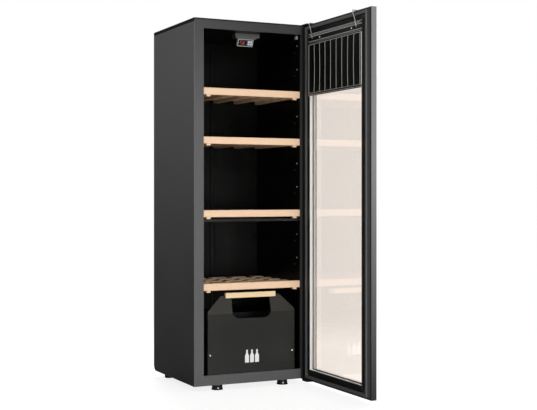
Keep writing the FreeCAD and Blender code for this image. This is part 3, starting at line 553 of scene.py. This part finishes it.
wood = {
    "front": {"light": (0.84, 0.60, 0.405), "dark": (0.73, 0.485, 0.305), "stretch": (1.2, 16.0, 16.0)},
    "deck": {"light": (0.62, 0.43, 0.28), "dark": (0.52, 0.34, 0.21), "stretch": (1.2, 16.0, 16.0)},
    "grip": {"light": (0.90, 0.70, 0.42), "dark": (0.79, 0.58, 0.32), "stretch": (1.5, 18.0, 18.0)},
    "seedStep": 3.1, "deckSeed": 1.4,  # no two boards are cut from the same place
}
for shelf in range(1, 5):
    frontSeed = wood["seedStep"] * shelf
    deckSeed = frontSeed + wood["deckSeed"]
    dress(wooden("beechFascia%d" % shelf, {**wood["front"], "seed": frontSeed}), "shelf_%d_front" % shelf)
    dress(wooden("beechDeck%d" % shelf, {**wood["deck"], "seed": deckSeed}), "shelf_%d_deck" % shelf)
dress(wooden("gripWood", wood["grip"]), "bin_grip")

glass = {"color": (0.984, 0.940, 0.904), "other": (0.980, 0.935, 0.897), "rough": 0.0, "ior": 1.34,
         "smears": 3.0, "smearRough": 0.02}
dress(glazed("bronzeGlass", glass), "door_glass")
digits = {"color": (1.0, 0.05, 0.02), "other": (0.9, 0.03, 0.02), "strength": 0.35, "patches": 400.0,
          "rough": 0.3}
dress(glowing("displayRed", digits), "display_digits")
print("materials done")


def addPiece(name, shape, material, smooth=True):
    # puts a finished bmesh into the scene as one object
    mesh = bpy.data.meshes.new(name)
    bmesh.ops.recalc_face_normals(shape, faces=shape.faces)
    shape.to_mesh(mesh)
    shape.free()
    for face in mesh.polygons:
        face.use_smooth = smooth
    mesh.materials.append(material)
    piece = bpy.data.objects.new(name, mesh)
    bpy.context.scene.collection.objects.link(piece)
    return piece


def lathe(shape, profile, place, steps=40, wave=None):
    # turns (radius, height) pairs round an axis; place maps a point to the model; wave swells single rings
    rings = []
    for index, (radius, height) in enumerate(profile):
        ring = []
        for k in range(steps):
            angle = 2 * math.pi * k / steps
            reach = radius + (wave(index, k) if wave else 0.0)
            point = Vector((reach * math.cos(angle), reach * math.sin(angle), height))
            ring.append(shape.verts.new(place(point)))
        rings.append(ring)
    for low, high in zip(rings, rings[1:]):
        for k in range(steps):
            shape.faces.new((low[k], low[(k + 1) % steps], high[(k + 1) % steps], high[k]))
    shape.faces.new(rings[0])
    shape.faces.new(rings[-1])


# shares of the head's radius and height; profile goes from the seat up to the rim of the cross
screwForm = {"arm": 0.58, "slot": 0.15, "profile": ((1.0, 0.0), (1.0, 0.45), (0.93, 0.75), (0.78, 0.95)),
             "sunkIn": 0.9, "sunkTo": 0.45}


def crossScrew(shape, centre, axis, size):
    # pan head with a sunk cross, standing on its seat
    turn = Vector(axis).to_track_quat("Z", "Y")
    height = size["height"]
    radius = size["radius"]
    arm, half = radius * screwForm["arm"], radius * screwForm["slot"]
    corners = [(half, half), (arm, half), (arm, -half), (half, -half), (half, -arm), (-half, -arm),
               (-half, -half), (-arm, -half), (-arm, half), (-half, half), (-half, arm), (half, arm)]
    corners.sort(key=lambda c: math.atan2(c[1], c[0]))

    def place(point):
        return Vector(centre) + turn @ point

    outer = []
    angles = [math.atan2(y, x) for x, y in corners]
    for share, level in screwForm["profile"]:
        outer.append([shape.verts.new(place(Vector((share * radius * math.cos(a), share * radius * math.sin(a),
                                                    level * height)))) for a in angles])
    rim = [shape.verts.new(place(Vector((x, y, height)))) for x, y in corners]
    inward, depth = screwForm["sunkIn"], screwForm["sunkTo"]
    sunk = [shape.verts.new(place(Vector((x * inward, y * inward, height * depth)))) for x, y in corners]
    rings = outer + [rim, sunk]
    count = len(corners)
    for low, high in zip(rings, rings[1:]):
        for k in range(count):
            shape.faces.new((low[k], low[(k + 1) % count], high[(k + 1) % count], high[k]))
    shape.faces.new(sunk)
    shape.faces.new(outer[0])


def islands(name):
    # lowest and highest corners of each separate solid of a CAD node
    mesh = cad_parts[name].data
    shape = bmesh.new()
    shape.from_mesh(mesh)
    bmesh.ops.remove_doubles(shape, verts=shape.verts, dist=1e-6)
    seen, found = set(), []
    for start in shape.verts:
        if start in seen:
            continue
        group, queue = [], [start]
        seen.add(start)
        while queue:
            vert = queue.pop()
            group.append(vert.co.copy())
            for edge in vert.link_edges:
                other = edge.other_vert(vert)
                if other not in seen:
                    seen.add(other)
                    queue.append(other)
        low = Vector(min(p[k] for p in group) for k in range(3))
        high = Vector(max(p[k] for p in group) for k in range(3))
        found.append((low, high))
    shape.free()
    return found


screwHeads = {
    "bin_screws": {"axis": (0, -1, 0), "radius": 0.005, "height": 0.0022, "body": "bottle_bin"},
    "rack_screws": {"axis": (-1, 0, 0), "radius": 0.004, "height": 0.0016, "body": "door_rack"},
    "case_screws": {"radius": 0.0045, "height": 0.0019, "body": "cabinet"},  # each faces the way it is thinnest
}


def makeScrews(name, size, material):
    shape = bmesh.new()
    for low, high in islands(name):
        middle = (low + high) / 2
        spans = high - low
        axis = size.get("axis")
        if axis is None:
            k = min(range(3), key=lambda n: spans[n])
            axis = [0, 0, 0]
            axis[k] = 1 if k == axisY or middle[2] > 1.0 else -1  # back, top or underside
        axis = Vector(axis)
        k = max(range(3), key=lambda n: abs(axis[n]))
        seat = middle.copy()
        outside = high[k] if axis[k] > 0 else low[k]
        seat[k] = outside - axis[k] * size["height"]
        crossScrew(shape, seat, axis, size)
    piece = addPiece(name + "_heads", shape, material, smooth=False)
    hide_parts(name)
    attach(piece, size["body"])


for name, size in screwHeads.items():
    makeScrews(name, size, finishes["screwZinc"] if name == "rack_screws" else finishes["brightSteel"])

footShape = {"ribs": 40, "ribDepth": 0.0007, "ribbedRings": (6, 7), "profile": [
    (0.0225, 0.0), (0.0262, 0.0004), (0.0274, 0.0014), (0.0274, 0.0032), (0.0262, 0.0046), (0.0248, 0.0052),
    (0.0244, 0.0060), (0.0236, 0.0220), (0.0240, 0.0232), (0.0224, 0.0250), (0.0205, 0.0256), (0.0040, 0.0257),
    (0.0040, 0.0380), (0.0032, 0.0390)]}


def makeFoot(side):
    name = "front_foot_" + side
    low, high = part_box(name)
    centre = Vector(((low[0] + high[0]) / 2, (low[1] + high[1]) / 2, 0.0))

    def wave(index, k):
        return footShape["ribDepth"] * (1 if k % 2 else -1) if index in footShape["ribbedRings"] else 0.0

    shape = bmesh.new()
    lathe(shape, footShape["profile"], lambda point: centre + point, footShape["ribs"] * 2, wave)
    piece = addPiece("footKnob_" + side, shape, finishes["footGloss"])
    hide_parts(name)
    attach(piece, name)


for side in ("left", "right"):
    makeFoot(side)
print("screws and feet done")

rackHatch = {"pitch": 0.0085, "lean": 0.006, "wide": 0.0024, "proud": 0.0004, "low": 0.0128, "high": 0.0018,
             "inset": 0.0028, "margin": 0.006}


def makeRackHatch():
    # slanting wires across the rack's head band
    low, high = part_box("rack_rails")
    face = low[0] + rackHatch["inset"]
    count = int((high[1] - low[1] - 2 * rackHatch["margin"]) / rackHatch["pitch"])
    shape = bmesh.new()
    for k in range(count):
        y = low[1] + rackHatch["margin"] + k * rackHatch["pitch"]
        corners = []
        for dy, z in ((0.0, high[2] - rackHatch["low"]), (rackHatch["lean"], high[2] - rackHatch["high"])):
            for side in (0.0, rackHatch["wide"]):
                for out in (0.0, rackHatch["proud"]):
                    corners.append(shape.verts.new((face - out, y + dy + side, z)))
        a, b, c, d, e, f, g, h = corners
        for face4 in ((a, c, g, e), (b, f, h, d), (a, b, d, c), (e, g, h, f), (a, e, f, b), (c, d, h, g)):
            shape.faces.new(face4)
    piece = addPiece("rackHatch", shape, finishes["rackBright"], smooth=False)
    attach(piece, "door_rack")


makeRackHatch()

studio = {"floorTone": (0.2, 0.2, 0.2), "floorGlow": 0.83, "floorSolid": 1.5, "floorGone": 2.9,
          "floorRadius": 3.0, "floorSteps": 96, "floorRough": 0.9, "floorPatches": 1.5, "floorPatchTone": 0.985,
          "backdrop": 1.0, "ambient": 0.29,
          "camera": (-2.17535, -4.6557, 0.913), "turn": -25.7, "level": 90.0, "lens": 73.2, "film": 36.0,
          "shiftY": -0.0196}
lamps = {
    "sideBox": {"at": (-2.2, -1.2, 2.9), "to": (-0.3, 0.0, 1.5), "size": 1.0, "power": 21.0},
    "frontBox": {"at": (-0.2, -4.0, 0.45), "to": (0.0, 0.0, 0.4), "size": 1.3, "power": 92.0},
    "topBox": {"at": (0.2, -3.0, 2.2), "to": (0.2, -0.5, 1.4), "size": 0.9, "power": 22.0},
    "backBox": {"at": (0.9, 3.6, 3.5), "to": (0.0, 0.5, 0.8), "size": 1.8, "power": 190.0},
    "rightBox": {"at": (3.8, 0.1, 2.2), "to": (0.3, 0.1, 0.9), "size": 1.6, "power": 80.0},
}


def makeFloor():
    # a pale sheet that melts into the backdrop away from the cooler
    floorMesh = bpy.data.meshes.new("floor")
    sheetShape = bmesh.new()
    radius, steps = studio["floorRadius"], studio["floorSteps"]
    ring = [sheetShape.verts.new((radius * math.cos(a), radius * math.sin(a), 0.0))
            for a in (2 * math.pi * k / steps for k in range(steps))]
    sheetShape.faces.new(ring)
    sheetShape.to_mesh(floorMesh)
    sheetShape.free()
    floor = bpy.data.objects.new("floor", floorMesh)
    bpy.context.scene.collection.objects.link(floor)
    material, tree, shader = newMaterial("paleFloor")
    point = objectPoint(tree)
    tone = studio["floorTone"]
    patchTone = tuple(c * studio["floorPatchTone"] for c in tone)
    patches = noise(tree, point, studio["floorPatches"])
    wire(tree, mixColor(tree, patches, tone, patchTone), shader.inputs["Base Color"])
    shader.inputs["Roughness"].default_value = studio["floorRough"]
    shader.inputs["Emission Color"].default_value = (1.0, 1.0, 1.0, 1.0)
    path = addNode(tree, "ShaderNodeLightPath")
    seen = mathNode(tree, "MAXIMUM", path.outputs["Is Camera Ray"], path.outputs["Is Transmission Ray"])
    wire(tree, mathNode(tree, "MULTIPLY", seen, studio["floorGlow"]), shader.inputs["Emission Strength"])
    away = addNode(tree, "ShaderNodeVectorMath", operation="LENGTH")
    wire(tree, point, away.inputs[0])
    falloff = spread(tree, away.outputs["Value"], studio["floorSolid"], studio["floorGone"], 1.0, 0.0)
    wire(tree, falloff, shader.inputs["Alpha"])
    floorMesh.materials.append(material)


def makeLights():
    world = bpy.data.worlds.new("studioSky")
    bpy.context.scene.world = world
    world.use_nodes = True
    sky = world.node_tree
    back = sky.nodes["Background"]
    back.inputs["Color"].default_value = (1.0, 1.0, 1.0, 1.0)
    path = addNode(sky, "ShaderNodeLightPath")
    seen = mathNode(sky, "MAXIMUM", path.outputs["Is Camera Ray"], path.outputs["Is Transmission Ray"])
    wire(sky, spread(sky, seen, 0.0, 1.0, studio["ambient"], studio["backdrop"]), back.inputs["Strength"])
    for name, lamp in lamps.items():
        data = bpy.data.lights.new(name, "AREA")
        data.size = lamp["size"]
        data.energy = lamp["power"]
        holder = bpy.data.objects.new(name, data)
        holder.location = lamp["at"]
        holder.rotation_euler = (Vector(lamp["to"]) - Vector(lamp["at"])).to_track_quat("-Z", "Y").to_euler()
        bpy.context.scene.collection.objects.link(holder)


def makeCamera():
    data = bpy.data.cameras.new("viewer")
    data.lens = studio["lens"]
    data.sensor_width = studio["film"]
    data.shift_y = studio["shiftY"]
    camera = bpy.data.objects.new("viewer", data)
    camera.location = studio["camera"]
    camera.rotation_euler = (math.radians(studio["level"]), 0.0, math.radians(studio["turn"]))
    bpy.context.scene.collection.objects.link(camera)
    bpy.context.scene.camera = camera


makeFloor()
makeLights()
makeCamera()
print("stage done")
